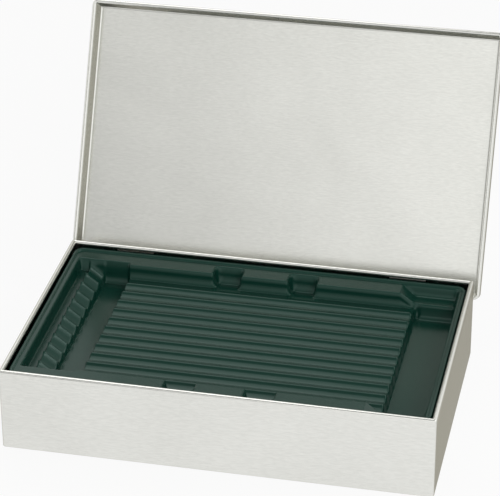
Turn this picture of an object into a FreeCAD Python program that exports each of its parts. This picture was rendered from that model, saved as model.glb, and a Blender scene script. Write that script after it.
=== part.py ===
import FreeCAD, Part
import math
import os
import Sketcher
from FreeCAD import Placement, Rotation, Vector

# Hinged metal pencil tin with two lift-out moulded trays.
# Millimetres. Origin: centre of the flat underside of the base.
# +X runs along the length to the right, +Y to the hinge at the back, +Z up.
# The lid stands open on its hinge; closing turns it about +X.

DIMENSIONS = (
    # tin base
    ("base_length", 202.4, "outside length of the base"),
    ("base_depth", 126.4, "outside depth of the base, front to back"),
    ("base_height", 41.6, "underside to the top of the rolled rim"),
    ("sheet_gauge", 0.35, "thickness of the tinplate"),
    ("base_corner", 1.25, "plan radius of the upright corners"),
    ("base_foot", 0.6, "radius of the lower edge"),
    ("rim_roll", 2.3, "diameter of the inward rolled rim of the base"),
    # lid
    ("lid_skirt", 9.3, "height of the lid over its rolled edge"),
    ("lid_side_gap", 0.2, "running gap between lid roll and base wall"),
    ("lid_seat_gap", 0.6, "gap between lid panel and base rim when shut"),
    ("lid_edge", 2.9, "radius between lid panel and skirt"),
    ("lid_corner", 3.0, "plan radius of the lid corners"),
    ("lid_open_angle", 116.0, "opening of the lid from shut, degrees"),
    # hinges
    ("hinge_inset", 32.7, "middle of each hinge in from the end of the base"),
    ("hinge_drop", 11.35, "hinge axis below the top of the base rim"),
    ("hinge_wall_gap", 0.1, "gap between knuckle and back wall"),
    ("leaf_width", 18.0, "width of a hinge leaf"),
    ("leaf_gauge", 0.4, "thickness of a hinge leaf"),
    ("leaf_top_drop", 3.0, "top of the inner leaf below the rim"),
    ("leaf_lift", 0.8, "how far the left inner leaf stands off at its top"),
    ("lid_leaf_height", 5.6, "height of the lid leaf over the lid edge"),
    ("pin_diameter", 1.6, "hinge pin"),
    ("pin_clearance", 0.1, "radial clearance of the pin in the lid knuckles"),
    ("knuckle_width", 8.0, "width of the middle knuckle"),
    ("knuckle_gap", 0.2, "side gap between knuckles"),
    # trays, shared
    ("tray_side_gap", 0.7, "gap between a tray and the rolled rim"),
    ("tray_corner", 5.0, "plan radius of the tray corners"),
    ("tray_gauge", 0.6, "wall thickness of the moulded trays"),
    ("tray_rest_gap", 0.1, "gap under each tray at rest"),
    ("groove_pitch", 8.26, "pencil pitch"),
    ("groove_radius", 4.9, "radius of a pencil groove"),
    ("groove_depth", 1.7, "depth of a pencil groove below its crest"),
    ("bed_depth", 99.12, "depth of the grooved bed, front to back"),
    ("left_flange", 3.6, "flat rim at the left end of the tray"),
    ("right_flange", 2.8, "flat rim at the right end of the tray"),
    ("left_end", 26.9, "length of the pocket left of the grooves"),
    ("right_end", 21.8, "length of the pocket right of the grooves"),
    # upper tray
    ("tray_drop", 3.4, "ledge of the upper tray below the base rim"),
    ("lip_height", 1.0, "raised lip round the upper tray"),
    ("lip_width", 1.4, "width of the raised lip"),
    ("crest_drop", 5.6, "groove crests below the ledge"),
    ("well_drop", 12.1, "well floors below the ledge"),
    ("shelf_drop", 4.8, "end shelves below the ledge"),
    ("ramp_length", 6.5, "length of the ramp from ledge to shelf"),
    ("well_draft", 2.0, "how far the end walls of the wells lean"),
    ("flange_width", 2.9, "flat rim between shelf wall and tray edge"),
    ("left_step", 1.94, "how far the left pocket reaches past the grooved bed"),
    ("right_step", 0.56, "how far the right well stops short of the bed's edge"),
    ("trough_width", 6.3, "width of the trough at the left end"),
    ("rack_width", 6.1, "width of the scalloped rack beside the well"),
    ("rack_top_drop", 2.6, "rack crests below the ledge at the trough"),
    ("rack_fall", 4.5, "fall of the rack crests towards the well"),
    ("rack_groove_radius", 3.7, "radius of the rack scallops"),
    ("rack_groove_depth", 2.5, "depth of the scallops below the rack crests"),
    ("trough_drop", 6.4, "floor of the end trough below the ledge"),
    ("notch_spacing", 37.4, "distance between the middles of the notches"),
    ("notch_width", 16.0, "width of a finger notch"),
    ("notch_length", 15.3, "length of a finger notch, front to back"),
    ("notch_step", 0.4, "inner end of a notch floor below the groove crests"),
    ("notch_drop", 9.3, "finger notch floor below the ledge at its outer end"),
    # lower tray
    ("lower_crest_drop", 7.6, "lower groove crests below its ledge"),
    ("lower_well_drop", 14.0, "lower well floors below its ledge"),
)

SIDES = (("left", -1), ("right", 1))

doc = FreeCAD.newDocument("pencil_tin")
sheet = doc.addObject("Spreadsheet::Sheet", "Sizes")
for row, (alias, value, note) in enumerate(DIMENSIONS, start=1):
    sheet.set("A%d" % row, note)
    sheet.set("B%d" % row, str(value))
    sheet.setAlias("B%d" % row, alias)

# Sizes that follow from the driving ones.
DERIVED = (
    ("knuckle_radius", "=pin_diameter / 2 + pin_clearance + leaf_gauge"),
    ("lid_overhang", "=hinge_wall_gap + 2 * knuckle_radius - leaf_gauge"),
    ("lid_roll", "=lid_overhang - lid_side_gap"),
    ("axis_back", "=base_depth / 2 + hinge_wall_gap + knuckle_radius"),
    ("axis_up", "=base_height - hinge_drop"),
    ("lid_top", "=base_height + lid_seat_gap + sheet_gauge"),
    ("lid_bottom", "=lid_top - lid_skirt"),
    ("tray_half_length", "=base_length / 2 - rim_roll - tray_side_gap"),
    ("tray_half_depth", "=base_depth / 2 - rim_roll - tray_side_gap"),
    ("hinge_spacing", "=base_length - 2 * hinge_inset"),
    ("bed_half", "=bed_depth / 2"),
    ("left_pocket_half", "=bed_half + left_step"),
    ("right_well_half", "=bed_half - right_step"),
    ("pocket_left", "=tray_half_length - left_flange"),
    ("pocket_right", "=tray_half_length - right_flange"),
    ("bed_left", "=pocket_left - left_end"),
    ("bed_right", "=pocket_right - right_end"),
    ("well_left", "=pocket_left - trough_width - rack_width"),
    ("ledge_up", "=base_height - tray_drop"),
    ("upper_foot", "=ledge_up - well_drop - tray_gauge"),
    ("lower_foot", "=sheet_gauge + tray_rest_gap"),
    ("lower_ledge_up", "=upper_foot - tray_rest_gap"),
    ("shelf_half", "=tray_half_depth - flange_width"),
)
for row, (alias, formula) in enumerate(DERIVED, start=len(DIMENSIONS) + 1):
    sheet.set("A%d" % row, "follows")
    sheet.set("B%d" % row, formula)
    sheet.setAlias("B%d" % row, alias)
doc.recompute()


def size(alias):
    """Value of one cell of the sheet."""
    return float(sheet.get(alias))


GROOVES = round(size("bed_depth") / size("groove_pitch"))


def bound(expression):
    """Expression with the sheet's name put before each alias in it."""
    words = sorted([a for a, _, _ in DIMENSIONS] + [a for a, _ in DERIVED], key=len, reverse=True)
    out, i = "", 0
    while i < len(expression):
        word = next((w for w in words if expression.startswith(w, i)), None)
        if word:
            out += "Sizes." + word
            i += len(word)
        else:
            out += expression[i]
            i += 1
    return out


def evaluate(expression):
    """Value of an expression in the sheet's sizes."""
    return float(sheet.evalExpression(expression.replace("Sizes.", "")))


def new_body(label):
    """Empty PartDesign body with the given label."""
    body = doc.addObject("PartDesign::Body", label)
    body.Label = label
    return body


def new_sketch(body, name, role, offset):
    """Sketch on one of the body's own origin planes, moved out by an expression."""
    sketch = body.newObject("Sketcher::SketchObject", name)
    plane = next(f for f in body.Origin.OriginFeatures if f.Role == role)
    sketch.AttachmentSupport = [(plane, "")]
    sketch.MapMode = "FlatFace"
    sketch.setExpression("AttachmentOffset.Base.z", bound(offset))
    return sketch


def place_point(sketch, geo, pos, across, up):
    """Tie a sketch point to the origin with two bound distances."""
    for kind, expression in (("DistanceX", across), ("DistanceY", up)):
        value = evaluate(expression)
        index = sketch.addConstraint(Sketcher.Constraint(kind, -1, 1, geo, pos, value))
        sketch.setExpression("Constraints[%d]" % index, bound(expression))


def add_outline(sketch, corners):
    """Closed outline through corners given as pairs of expressions."""
    first = sketch.GeometryCount
    count = len(corners)
    guess = [Vector(evaluate(a), evaluate(b), 0) for a, b in corners]
    for i in range(count):
        sketch.addGeometry(Part.LineSegment(guess[i], guess[(i + 1) % count]), False)
    for i in range(count):
        follow = first + (i + 1) % count
        sketch.addConstraint(Sketcher.Constraint("Coincident", first + i, 2, follow, 1))
    for i, (across, up) in enumerate(corners):
        place_point(sketch, first + i, 1, across, up)


def add_box(sketch, left, right, low, high):
    """Rectangle between four bound edges."""
    add_outline(sketch, ((left, low), (right, low), (right, high), (left, high)))


def add_circle(sketch, across, up, radius):
    """Circle with bound centre and radius."""
    centre = Vector(evaluate(across), evaluate(up), 0)
    geo = sketch.addGeometry(Part.Circle(centre, Vector(0, 0, 1), evaluate(radius)), False)
    place_point(sketch, geo, 3, across, up)
    index = sketch.addConstraint(Sketcher.Constraint("Radius", geo, evaluate(radius)))
    sketch.setExpression("Constraints[%d]" % index, bound(radius))


def grow(body, sketch, length, cut=False, reverse=False, middle=False):
    """Pad or pocket of a sketch by a bound length."""
    kind = "PartDesign::Pocket" if cut else "PartDesign::Pad"
    feature = body.newObject(kind, sketch.Name + ("_cut" if cut else "_pad"))
    feature.Profile = sketch
    feature.Type = 0
    feature.setExpression("Length", bound(length))
    feature.Reversed = reverse
    feature.Midplane = middle
    doc.recompute()
    return feature


def round_edges(body, name, radius, chooser):
    """Fillet of the edges of the body's last feature that the chooser accepts."""
    base = body.Tip
    names = ["Edge%d" % i for i, e in enumerate(base.Shape.Edges, start=1) if chooser(e)]
    fillet = body.newObject("PartDesign::Fillet", name)
    fillet.Base = (base, names)
    fillet.setExpression("Radius", bound(radius))
    doc.recompute()
    return fillet


def span(edge):
    """Box of an edge."""
    return edge.BoundBox


def upright(x, y, reach=6.0):
    """Chooser of upright edges near the four corners at +-x, +-y."""
    def choose(edge):
        box = span(edge)
        near = abs(abs(box.Center.x) - x) < reach and abs(abs(box.Center.y) - y) < reach
        return near and box.XLength < 1e-4 and box.YLength < 1e-4 and box.ZLength > 0.5
    return choose


def level(z, x, y, slack=0.02):
    """Chooser of the level loop at height z whose outermost reach is x by y."""
    def choose(edge):
        box = span(edge)
        flat = abs(box.ZMin - z) < slack and abs(box.ZMax - z) < slack
        out_x = max(abs(box.XMin), abs(box.XMax))
        out_y = max(abs(box.YMin), abs(box.YMax))
        on_loop = abs(out_x - x) < slack or abs(out_y - y) < slack
        return flat and on_loop and out_x < x + slack and out_y < y + slack
    return choose


def hollow_body(label, half_length, half_depth, low, height, corner):
    """Body that fills a hollow: a block with rounded uprights."""
    body = new_body(label)
    sketch = new_sketch(body, label + "_outline", "XY_Plane", low)
    add_box(sketch, "-(%s)" % half_length, half_length, "-(%s)" % half_depth, half_depth)
    grow(body, sketch, height)
    round_edges(body, label + "_uprights", corner,
                upright(evaluate(half_length), evaluate(half_depth), 0.3))
    return body


def cut_away(body, tool):
    """Boolean cut of a tool body inside another body."""
    cut = body.newObject("PartDesign::Boolean", body.Label + "_hollowed")
    cut.setObjects([tool])
    cut.Type = "Cut"
    doc.recompute()
    return cut


# ---- base shell: drawn body with an inward rolled rim ----
base = new_body("base_shell")
outline = new_sketch(base, "base_outline", "XY_Plane", "0")
add_box(outline, "-base_length/2", "base_length/2", "-base_depth/2", "base_depth/2")
grow(base, outline, "base_height")
half_x, half_y = size("base_length") / 2, size("base_depth") / 2
round_edges(base, "base_uprights", "base_corner", upright(half_x, half_y))
round_edges(base, "base_foot_round", "base_foot", level(0.0, half_x, half_y))

mouth = new_sketch(base, "base_mouth", "XY_Plane", "base_height")
mouth_x, mouth_y = "base_length/2-rim_roll", "base_depth/2-rim_roll"
add_box(mouth, "-(%s)" % mouth_x, mouth_x, "-(%s)" % mouth_y, mouth_y)
grow(base, mouth, "base_height-sheet_gauge", cut=True)
round_edges(base, "mouth_uprights", "base_corner",
            upright(evaluate(mouth_x), evaluate(mouth_y), 0.3))

cavity_x, cavity_y = "base_length/2-sheet_gauge", "base_depth/2-sheet_gauge"
cavity = hollow_body("base_cavity", cavity_x, cavity_y, "sheet_gauge",
                     "base_height-rim_roll-sheet_gauge", "base_corner-sheet_gauge")
cut_away(base, cavity)

roll = "rim_roll/2-0.02"
for name, up, x, y in (
    ("rim_outer", "base_height", "base_length/2", "base_depth/2"),
    ("rim_inner", "base_height", mouth_x, mouth_y),
    ("rim_under", "base_height-rim_roll", mouth_x, mouth_y),
):
    round_edges(base, name, roll, level(evaluate(up), evaluate(x), evaluate(y)))

slots = new_sketch(base, "hinge_slots", "XZ_Plane", "-(base_depth/2-2*sheet_gauge)")
slot_half = "(knuckle_width/2+knuckle_gap)"
for side, sign in SIDES:
    middle = "%d*hinge_spacing/2" % sign
    add_box(slots, "%s-%s" % (middle, slot_half), "%s+%s" % (middle, slot_half),
            "axis_up-knuckle_radius-hinge_wall_gap",
            "axis_up-knuckle_radius+leaf_gauge+hinge_wall_gap")
grow(base, slots, "3*sheet_gauge", cut=True)


# ---- lid shell: drawn shut, then turned open on the hinge axis ----
def stand_open(body):
    """Turn a piece of the lid from shut to open about the hinge axis."""
    swing = "(-lid_open_angle)"
    body.Placement = Placement(Vector(), Rotation(Vector(1, 0, 0), -size("lid_open_angle")))
    body.setExpression("Placement.Rotation.Angle", bound("-lid_open_angle"))
    body.setExpression("Placement.Base.y", bound(
        "axis_back-(axis_back*cos%s-axis_up*sin%s)" % (swing, swing)))
    body.setExpression("Placement.Base.z", bound(
        "axis_up-(axis_back*sin%s+axis_up*cos%s)" % (swing, swing)))
    doc.recompute()


lid = new_body("lid_shell")
lid_x, lid_y = "base_length/2+lid_overhang", "base_depth/2+lid_overhang"
lid_outline = new_sketch(lid, "lid_outline", "XY_Plane", "lid_bottom")
add_box(lid_outline, "-(%s)" % lid_x, lid_x, "-(%s)" % lid_y, lid_y)
grow(lid, lid_outline, "lid_skirt")
round_edges(lid, "lid_uprights", "lid_corner", upright(evaluate(lid_x), evaluate(lid_y)))
round_edges(lid, "lid_edge_round", "lid_edge",
            level(size("lid_top"), evaluate(lid_x), evaluate(lid_y)))

lid_mouth = new_sketch(lid, "lid_mouth", "XY_Plane", "lid_bottom")
clear_x, clear_y = "base_length/2+lid_side_gap", "base_depth/2+lid_side_gap"
add_box(lid_mouth, "-(%s)" % clear_x, clear_x, "-(%s)" % clear_y, clear_y)
grow(lid, lid_mouth, "lid_roll", cut=True, reverse=True)
round_edges(lid, "lid_mouth_uprights", "base_corner+lid_side_gap",
            upright(evaluate(clear_x), evaluate(clear_y), 0.3))

inside_x, inside_y = "base_length/2+lid_overhang-sheet_gauge", "base_depth/2+lid_overhang-sheet_gauge"
lid_hollow = hollow_body("lid_hollow", inside_x, inside_y, "lid_bottom+lid_roll",
                         "lid_skirt-lid_roll-sheet_gauge", "lid_corner-sheet_gauge")
round_edges(lid_hollow, "lid_hollow_edge", "lid_edge-sheet_gauge",
            level(size("lid_top") - size("sheet_gauge"), evaluate(inside_x), evaluate(inside_y)))
cut_away(lid, lid_hollow)
roll = "lid_roll/2-0.02"
for name, up, x, y in (
    ("lid_roll_outer", "lid_bottom", lid_x, lid_y),
    ("lid_roll_inner", "lid_bottom", clear_x, clear_y),
    ("lid_roll_upper", "lid_bottom+lid_roll", clear_x, clear_y),
):
    round_edges(lid, name, roll, level(evaluate(up), evaluate(x), evaluate(y)))
stand_open(lid)


# ---- hinges: a leaf on the base, a leaf on the lid and a pin each ----
def base_leaf(side, sign, lift):
    """Inner leaf: plate behind the back wall, tongue through the slot, knuckle."""
    body = new_body("base_hinge_leaf_" + side)
    middle = "%d*hinge_spacing/2" % sign
    outer, low, high = "base_depth/2-sheet_gauge", "axis_up-knuckle_radius", "base_height-leaf_top_drop"
    inner = outer + "-leaf_gauge"
    bend = high + "-lid_leaf_height/2"

    plate = new_sketch(body, "inner_plate_" + side, "YZ_Plane", middle)
    add_outline(plate, ((inner, low), (outer, low), (outer, bend), (outer + lift, high),
                        (inner + lift, high), (inner, bend)))
    grow(body, plate, "leaf_width", middle=True)

    tongue = new_sketch(body, "tongue_" + side, "YZ_Plane", middle)
    add_box(tongue, inner, "axis_back", low, low + "+leaf_gauge")
    grow(body, tongue, "knuckle_width", middle=True)

    barrel = new_sketch(body, "base_barrel_" + side, "YZ_Plane", middle)
    add_circle(barrel, "axis_back", "axis_up", "knuckle_radius")
    grow(body, barrel, "knuckle_width", middle=True)

    bore = new_sketch(body, "base_bore_" + side, "YZ_Plane", middle)
    add_circle(bore, "axis_back", "axis_up", "pin_diameter/2")
    grow(body, bore, "2*leaf_width", cut=True, middle=True)
    return body


def lid_leaf(side, sign):
    """Outer leaf: plate on the outside of the lid skirt with two knuckles."""
    body = new_body("lid_hinge_leaf_" + side)
    middle = "%d*hinge_spacing/2" % sign
    face = "axis_back+knuckle_radius"

    plate = new_sketch(body, "outer_plate_" + side, "YZ_Plane", middle)
    add_box(plate, face + "-leaf_gauge", face, "axis_up", "lid_bottom+lid_leaf_height")
    grow(body, plate, "leaf_width", middle=True)

    barrel = new_sketch(body, "lid_barrel_" + side, "YZ_Plane", middle)
    add_circle(barrel, "axis_back", "axis_up", "knuckle_radius")
    grow(body, barrel, "leaf_width", middle=True)

    bore = new_sketch(body, "lid_bore_" + side, "YZ_Plane", middle)
    add_circle(bore, "axis_back", "axis_up", "pin_diameter/2+pin_clearance")
    grow(body, bore, "2*leaf_width", cut=True, middle=True)

    gap = new_sketch(body, "knuckle_gap_" + side, "YZ_Plane", middle)
    add_box(gap, "axis_back-2*knuckle_radius", "axis_back+2*knuckle_radius",
            "axis_up-2*knuckle_radius", "axis_up+knuckle_radius+knuckle_gap")
    grow(body, gap, "knuckle_width+2*knuckle_gap", cut=True, middle=True)
    stand_open(body)
    return body


def hinge_pin(side, sign):
    """Pin through the three knuckles."""
    pin = doc.addObject("Part::Cylinder", "hinge_pin_" + side)
    pin.Placement = Placement(Vector(), Rotation(Vector(0, 1, 0), 90))
    pin.setExpression("Radius", bound("pin_diameter/2"))
    pin.setExpression("Height", bound("leaf_width"))
    pin.setExpression("Placement.Base.x", bound("%d*hinge_spacing/2-leaf_width/2" % sign))
    pin.setExpression("Placement.Base.y", bound("axis_back"))
    pin.setExpression("Placement.Base.z", bound("axis_up"))
    return pin


LIFTS = {"left": "-leaf_lift", "right": ""}
base_leaves = [base_leaf(side, sign, LIFTS[side]) for side, sign in SIDES]
lid_leaves = [lid_leaf(side, sign) for side, sign in SIDES]
pins = [hinge_pin(side, sign) for side, sign in SIDES]


# ---- trays: a top form less the same form drawn in by the sheet thickness ----
def trough(body, name, profile, half_depth, skin):
    """Pocket with a profile seen from the front, cut to the same reach front and back."""
    sketch = new_sketch(body, name, "XZ_Plane", "0")
    add_outline(sketch, profile)
    grow(body, sketch, "2*(%s+%s)" % (half_depth, skin), cut=True, middle=True)


def well(body, name, edges, half_depth, top, floor, skin):
    """Plain pocket between two bound X edges, down to a floor."""
    sketch = new_sketch(body, name, "XY_Plane", top)
    left, right = edges
    add_box(sketch, "%s-%s" % (left, skin), "%s+%s" % (right, skin),
            "-(%s+%s)" % (half_depth, skin), "%s+%s" % (half_depth, skin))
    grow(body, sketch, "%s-(%s)+%s" % (top, floor, skin), cut=True)


def add_cradle(sketch, across, crest, shape, skin):
    """Lower part of a circle under a crest line, as one groove's profile."""
    full, depth = shape
    centre_up = "(%s+%s-%s)" % (crest, full, depth)
    radius = "(%s+%s)" % (full, skin)
    line_up = "(%s-%s)" % (crest, skin)
    mid, up, r = evaluate(across), evaluate(centre_up), evaluate(radius)
    drop = up - evaluate(line_up)
    angle = math.acos(drop / r)
    circle = Part.Circle(Vector(mid, up, 0), Vector(0, 0, 1), r)
    down = -math.pi / 2
    arc = sketch.addGeometry(Part.ArcOfCircle(circle, down - angle, down + angle), False)
    ends = (Vector(mid + r * math.sin(angle), up - drop, 0), Vector(mid - r * math.sin(angle), up - drop, 0))
    line = sketch.addGeometry(Part.LineSegment(*ends), False)
    sketch.addConstraint(Sketcher.Constraint("Coincident", arc, 2, line, 1))
    sketch.addConstraint(Sketcher.Constraint("Coincident", line, 2, arc, 1))
    sketch.addConstraint(Sketcher.Constraint("Horizontal", line))
    place_point(sketch, arc, 3, across, centre_up)
    index = sketch.addConstraint(Sketcher.Constraint("Radius", arc, r))
    sketch.setExpression("Constraints[%d]" % index, bound(radius))
    index = sketch.addConstraint(Sketcher.Constraint("DistanceY", -1, 1, line, 1, up - drop))
    sketch.setExpression("Constraints[%d]" % index, bound(line_up))


def grooves(body, name, edges, crest, shape, skin, fall=None):
    """Row of grooves along X, one for each pencil; fall is the drop over their length."""
    left, right = edges
    sketch = new_sketch(body, name, "YZ_Plane", left)
    add_cradle(sketch, "-(groove_pitch*%s)" % ((GROOVES - 1) / 2), crest, shape, skin)
    cut = grow(body, sketch, "(%s)-(%s)" % (right, left), cut=True, reverse=True)
    if fall:
        cut.UseCustomVector = True
        cut.AlongSketchNormal = True
        cut.Direction = Vector(evaluate("(%s)-(%s)" % (right, left)), 0, -evaluate(fall))
        cut.Reversed = False
        doc.recompute()
    row = body.newObject("PartDesign::LinearPattern", name + "_row")
    row.Originals = [cut]
    row.Direction = (sketch, ["H_Axis"])
    row.Occurrences = GROOVES
    row.setExpression("Length", bound("groove_pitch*%d" % (GROOVES - 1)))
    body.Tip = row
    doc.recompute()


def notches(body, name, sign, ledge, crest, skin):
    """Finger notches at the front and back edges of the bed at one X."""
    sketch = new_sketch(body, name, "YZ_Plane", "%d*notch_spacing/2" % sign)
    inner = "(shelf_half-notch_length-%s)" % skin
    outer = "(shelf_half+%s)" % skin
    over = ledge + "+2*lip_height"
    floor_out, floor_in = "%s-notch_drop-%s" % (ledge, skin), "%s-notch_step-%s" % (crest, skin)
    for way in ("", "-"):
        add_outline(sketch, ((way + inner, floor_in), (way + outer, floor_out),
                             (way + outer, over), (way + inner, over)))
    grow(body, sketch, "notch_width+2*%s" % skin, cut=True, middle=True)


def tray_block(body, foot, top, skin):
    """Block of a tray form with rounded uprights; the inner form starts lower."""
    below = "(%s-%s)" % (foot, skin)
    sketch = new_sketch(body, body.Label + "_plan", "XY_Plane", below)
    half_length, half_depth = "(tray_half_length-%s)" % skin, "(tray_half_depth-%s)" % skin
    add_box(sketch, "-" + half_length, half_length, "-" + half_depth, half_depth)
    grow(body, sketch, "%s-%s" % (top, foot))
    round_edges(body, body.Label + "_uprights", "tray_corner-%s" % skin,
                upright(evaluate(half_length), evaluate(half_depth), 0.3))


def upper_form(label, skin):
    """Solid under one face of the upper tray: skin 0 for the face that shows."""
    body = new_body(label)
    top, ledge = "(ledge_up+lip_height)", "ledge_up"
    crest, floor = "(ledge_up-crest_drop)", "(ledge_up-well_drop)"
    over = "(ledge_up+2*lip_height)"
    tray_block(body, "upper_foot", top, skin)
    well(body, label + "_ledge", ("-(tray_half_length-lip_width)", "(tray_half_length-lip_width)"),
         "tray_half_depth-lip_width", over, ledge, skin)
    well(body, label + "_bed", ("-bed_left", "bed_right"), "bed_half", over, crest, skin)

    rack_right = "-(well_left)-%s" % skin
    rack_left = "-(well_left+rack_width)+%s" % skin
    trough(body, label + "_left", (
        ("-pocket_left-%s" % skin, over),
        ("-pocket_left-%s" % skin, "ledge_up-trough_drop-%s" % skin),
        (rack_left, "ledge_up-trough_drop-%s" % skin),
        (rack_left, "ledge_up-rack_top_drop-%s" % skin),
        (rack_right, "ledge_up-rack_top_drop-rack_fall-%s" % skin),
        (rack_right, "%s-%s" % (floor, skin)),
        ("-bed_left-well_draft+%s" % skin, "%s-%s" % (floor, skin)),
        ("-bed_left+%s" % skin, "%s-%s" % (crest, skin)),
        ("-bed_left+%s" % skin, over),
    ), "left_pocket_half", skin)
    trough(body, label + "_shelf", (
        ("bed_right-ramp_length-%s" % skin, "ledge_up-%s" % skin),
        ("bed_right-%s" % skin, "ledge_up-shelf_drop-%s" % skin),
        ("pocket_right+%s" % skin, "ledge_up-shelf_drop-%s" % skin),
        ("pocket_right+%s" % skin, over),
        ("bed_right-ramp_length-%s" % skin, over),
    ), "shelf_half", skin)
    trough(body, label + "_right", (
        ("bed_right-%s" % skin, over),
        ("bed_right-%s" % skin, "%s-%s" % (crest, skin)),
        ("bed_right+well_draft-%s" % skin, "%s-%s" % (floor, skin)),
        ("pocket_right-well_draft+%s" % skin, "%s-%s" % (floor, skin)),
        ("pocket_right+%s" % skin, "ledge_up-shelf_drop-%s" % skin),
        ("pocket_right+%s" % skin, over),
    ), "right_well_half", skin)
    grooves(body, label + "_grooves", ("-bed_left-0.5*well_draft", "bed_right+0.5*well_draft"),
            crest, ("groove_radius", "groove_depth"), skin)
    grooves(body, label + "_rack", ("-(well_left+rack_width)", "-(well_left)"), "(ledge_up-rack_top_drop)",
            ("rack_groove_radius", "rack_groove_depth"), skin, "rack_fall")
    for side, sign in SIDES:
        notches(body, label + "_notches_" + side, sign, "ledge_up", crest, skin)
    return body


def lower_form(label, skin):
    """Solid under one face of the lower tray."""
    body = new_body(label)
    ledge, over = "lower_ledge_up", "(lower_ledge_up+lip_height)"
    crest, floor = "(lower_ledge_up-lower_crest_drop)", "(lower_ledge_up-lower_well_drop)"
    tray_block(body, "lower_foot", ledge, skin)
    well(body, label + "_bed", ("-bed_left", "bed_right"), "bed_half", over, crest, skin)
    well(body, label + "_left", ("-pocket_left", "-bed_left"), "bed_half", over, floor, skin)
    well(body, label + "_right", ("bed_right", "pocket_right"), "bed_half", over, floor, skin)
    grooves(body, label + "_grooves", ("-bed_left-0.5*well_draft", "bed_right+0.5*well_draft"),
            crest, ("groove_radius", "groove_depth"), skin)
    for side, sign in SIDES:
        notches(body, label + "_notches_" + side, sign, ledge, crest, skin)
    return body


def moulded(label, maker):
    """Tray of even thickness from its two forms."""
    tray = doc.addObject("Part::Cut", label)
    tray.Base = maker(label + "_face", "0")
    tray.Tool = maker(label + "_back", "tray_gauge")
    doc.recompute()
    return tray


trays = [moulded("upper_tray", upper_form), moulded("lower_tray", lower_form)]

# ---- check every object, then write one file for each piece ----
doc.recompute()
pieces = [base, lid] + base_leaves + lid_leaves + pins + trays
failed = [o.Name for o in doc.Objects if {"Invalid", "Error"} & set(o.State)]
if failed:
    raise RuntimeError("failed features: " + ", ".join(failed))
for piece in pieces:
    shape = piece.Shape
    if shape.isNull() or not shape.isValid() or len(shape.Solids) != 1:
        raise RuntimeError("%s is not one sound solid" % piece.Label)

os.makedirs("parts", exist_ok=True)
for piece in pieces:
    piece.Shape.exportStep("parts/%s.step" % piece.Label)
    box = piece.Shape.BoundBox
    print("%-24s %9.1f mm3  %s" % (piece.Label, piece.Shape.Volume, box))
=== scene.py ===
"""Dressed model of a hinged tin for coloured pencils: two tinplate shells, hinges, moulded trays."""
import logging
import math
from dataclasses import dataclass
from enum import Enum
from typing import Sequence

import bmesh
import bpy
import numpy as np
from mathutils import Matrix, Vector


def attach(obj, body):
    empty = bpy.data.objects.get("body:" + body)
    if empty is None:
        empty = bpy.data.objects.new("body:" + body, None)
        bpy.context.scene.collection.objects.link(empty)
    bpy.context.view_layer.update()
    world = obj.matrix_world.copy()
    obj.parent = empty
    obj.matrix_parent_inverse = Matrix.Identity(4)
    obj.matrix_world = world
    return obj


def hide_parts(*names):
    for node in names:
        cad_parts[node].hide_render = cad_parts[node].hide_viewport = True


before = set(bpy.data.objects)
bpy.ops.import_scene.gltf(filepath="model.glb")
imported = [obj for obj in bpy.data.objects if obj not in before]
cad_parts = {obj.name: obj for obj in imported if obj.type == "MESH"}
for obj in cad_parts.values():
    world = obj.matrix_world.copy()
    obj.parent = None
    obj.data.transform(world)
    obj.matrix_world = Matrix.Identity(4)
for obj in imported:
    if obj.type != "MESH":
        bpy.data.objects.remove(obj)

LOG = logging.getLogger("pencil_tin")
MM = 0.001
FLAT_AREA = 170.0
LEAST_RADIUS = 0.03
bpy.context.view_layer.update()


class BodyName(Enum):
    """Bodies of the frame that the pieces ride on."""

    BASE = "base"
    LID = "lid"
    UPPER_TRAY = "upper_tray"
    LOWER_TRAY = "lower_tray"


class GrainAxis(Enum):
    """Stretch of a grain pattern: the axis that its streaks run along."""

    ALONG_X = (350.0, 1700.0, 1700.0)
    EVEN = (900.0, 900.0, 900.0)


# --------------------------------------------------------------------------- shader groups

GRAIN_SHARE, CLOUD_SHARE = 0.6, 0.4
TONE_STOPS = (0.3, 0.7)
SMUDGE_RANGE = (0.25, 0.75)
GRAIN_DEPTH = 0.0001


def new_group(name: str, inputs: Sequence[tuple[str, float]], outputs: Sequence[tuple[str, str]]) -> bpy.types.NodeTree:
    """Make an empty shader node group.

    Args:
        name: Name of the group.
        inputs: Pairs of a float input's name and its default.
        outputs: Pairs of an output's name and its socket type.

    Returns:
        The new node tree, with its input and output nodes.
    """
    tree = bpy.data.node_groups.new(name, "ShaderNodeTree")
    for label, default in inputs:
        socket = tree.interface.new_socket(label, in_out="INPUT", socket_type="NodeSocketFloat")
        socket.default_value = default
    for label, kind in outputs:
        tree.interface.new_socket(label, in_out="OUTPUT", socket_type=kind)
    tree.nodes.new("NodeGroupInput")
    tree.nodes.new("NodeGroupOutput")
    return tree


def math_node(tree: bpy.types.NodeTree, operation: str, first: object, second: object) -> bpy.types.NodeSocket:
    """Add a Math node.

    Args:
        tree: Node tree that gets the node.
        operation: Name of the operation.
        first: Socket or number for the first input.
        second: Socket or number for the second input.

    Returns:
        The node's output socket.
    """
    node = tree.nodes.new("ShaderNodeMath")
    node.operation = operation
    for index, value in enumerate((first, second)):
        if isinstance(value, bpy.types.NodeSocket):
            tree.links.new(value, node.inputs[index])
        else:
            node.inputs[index].default_value = float(value)
    return node.outputs[0]


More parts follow.
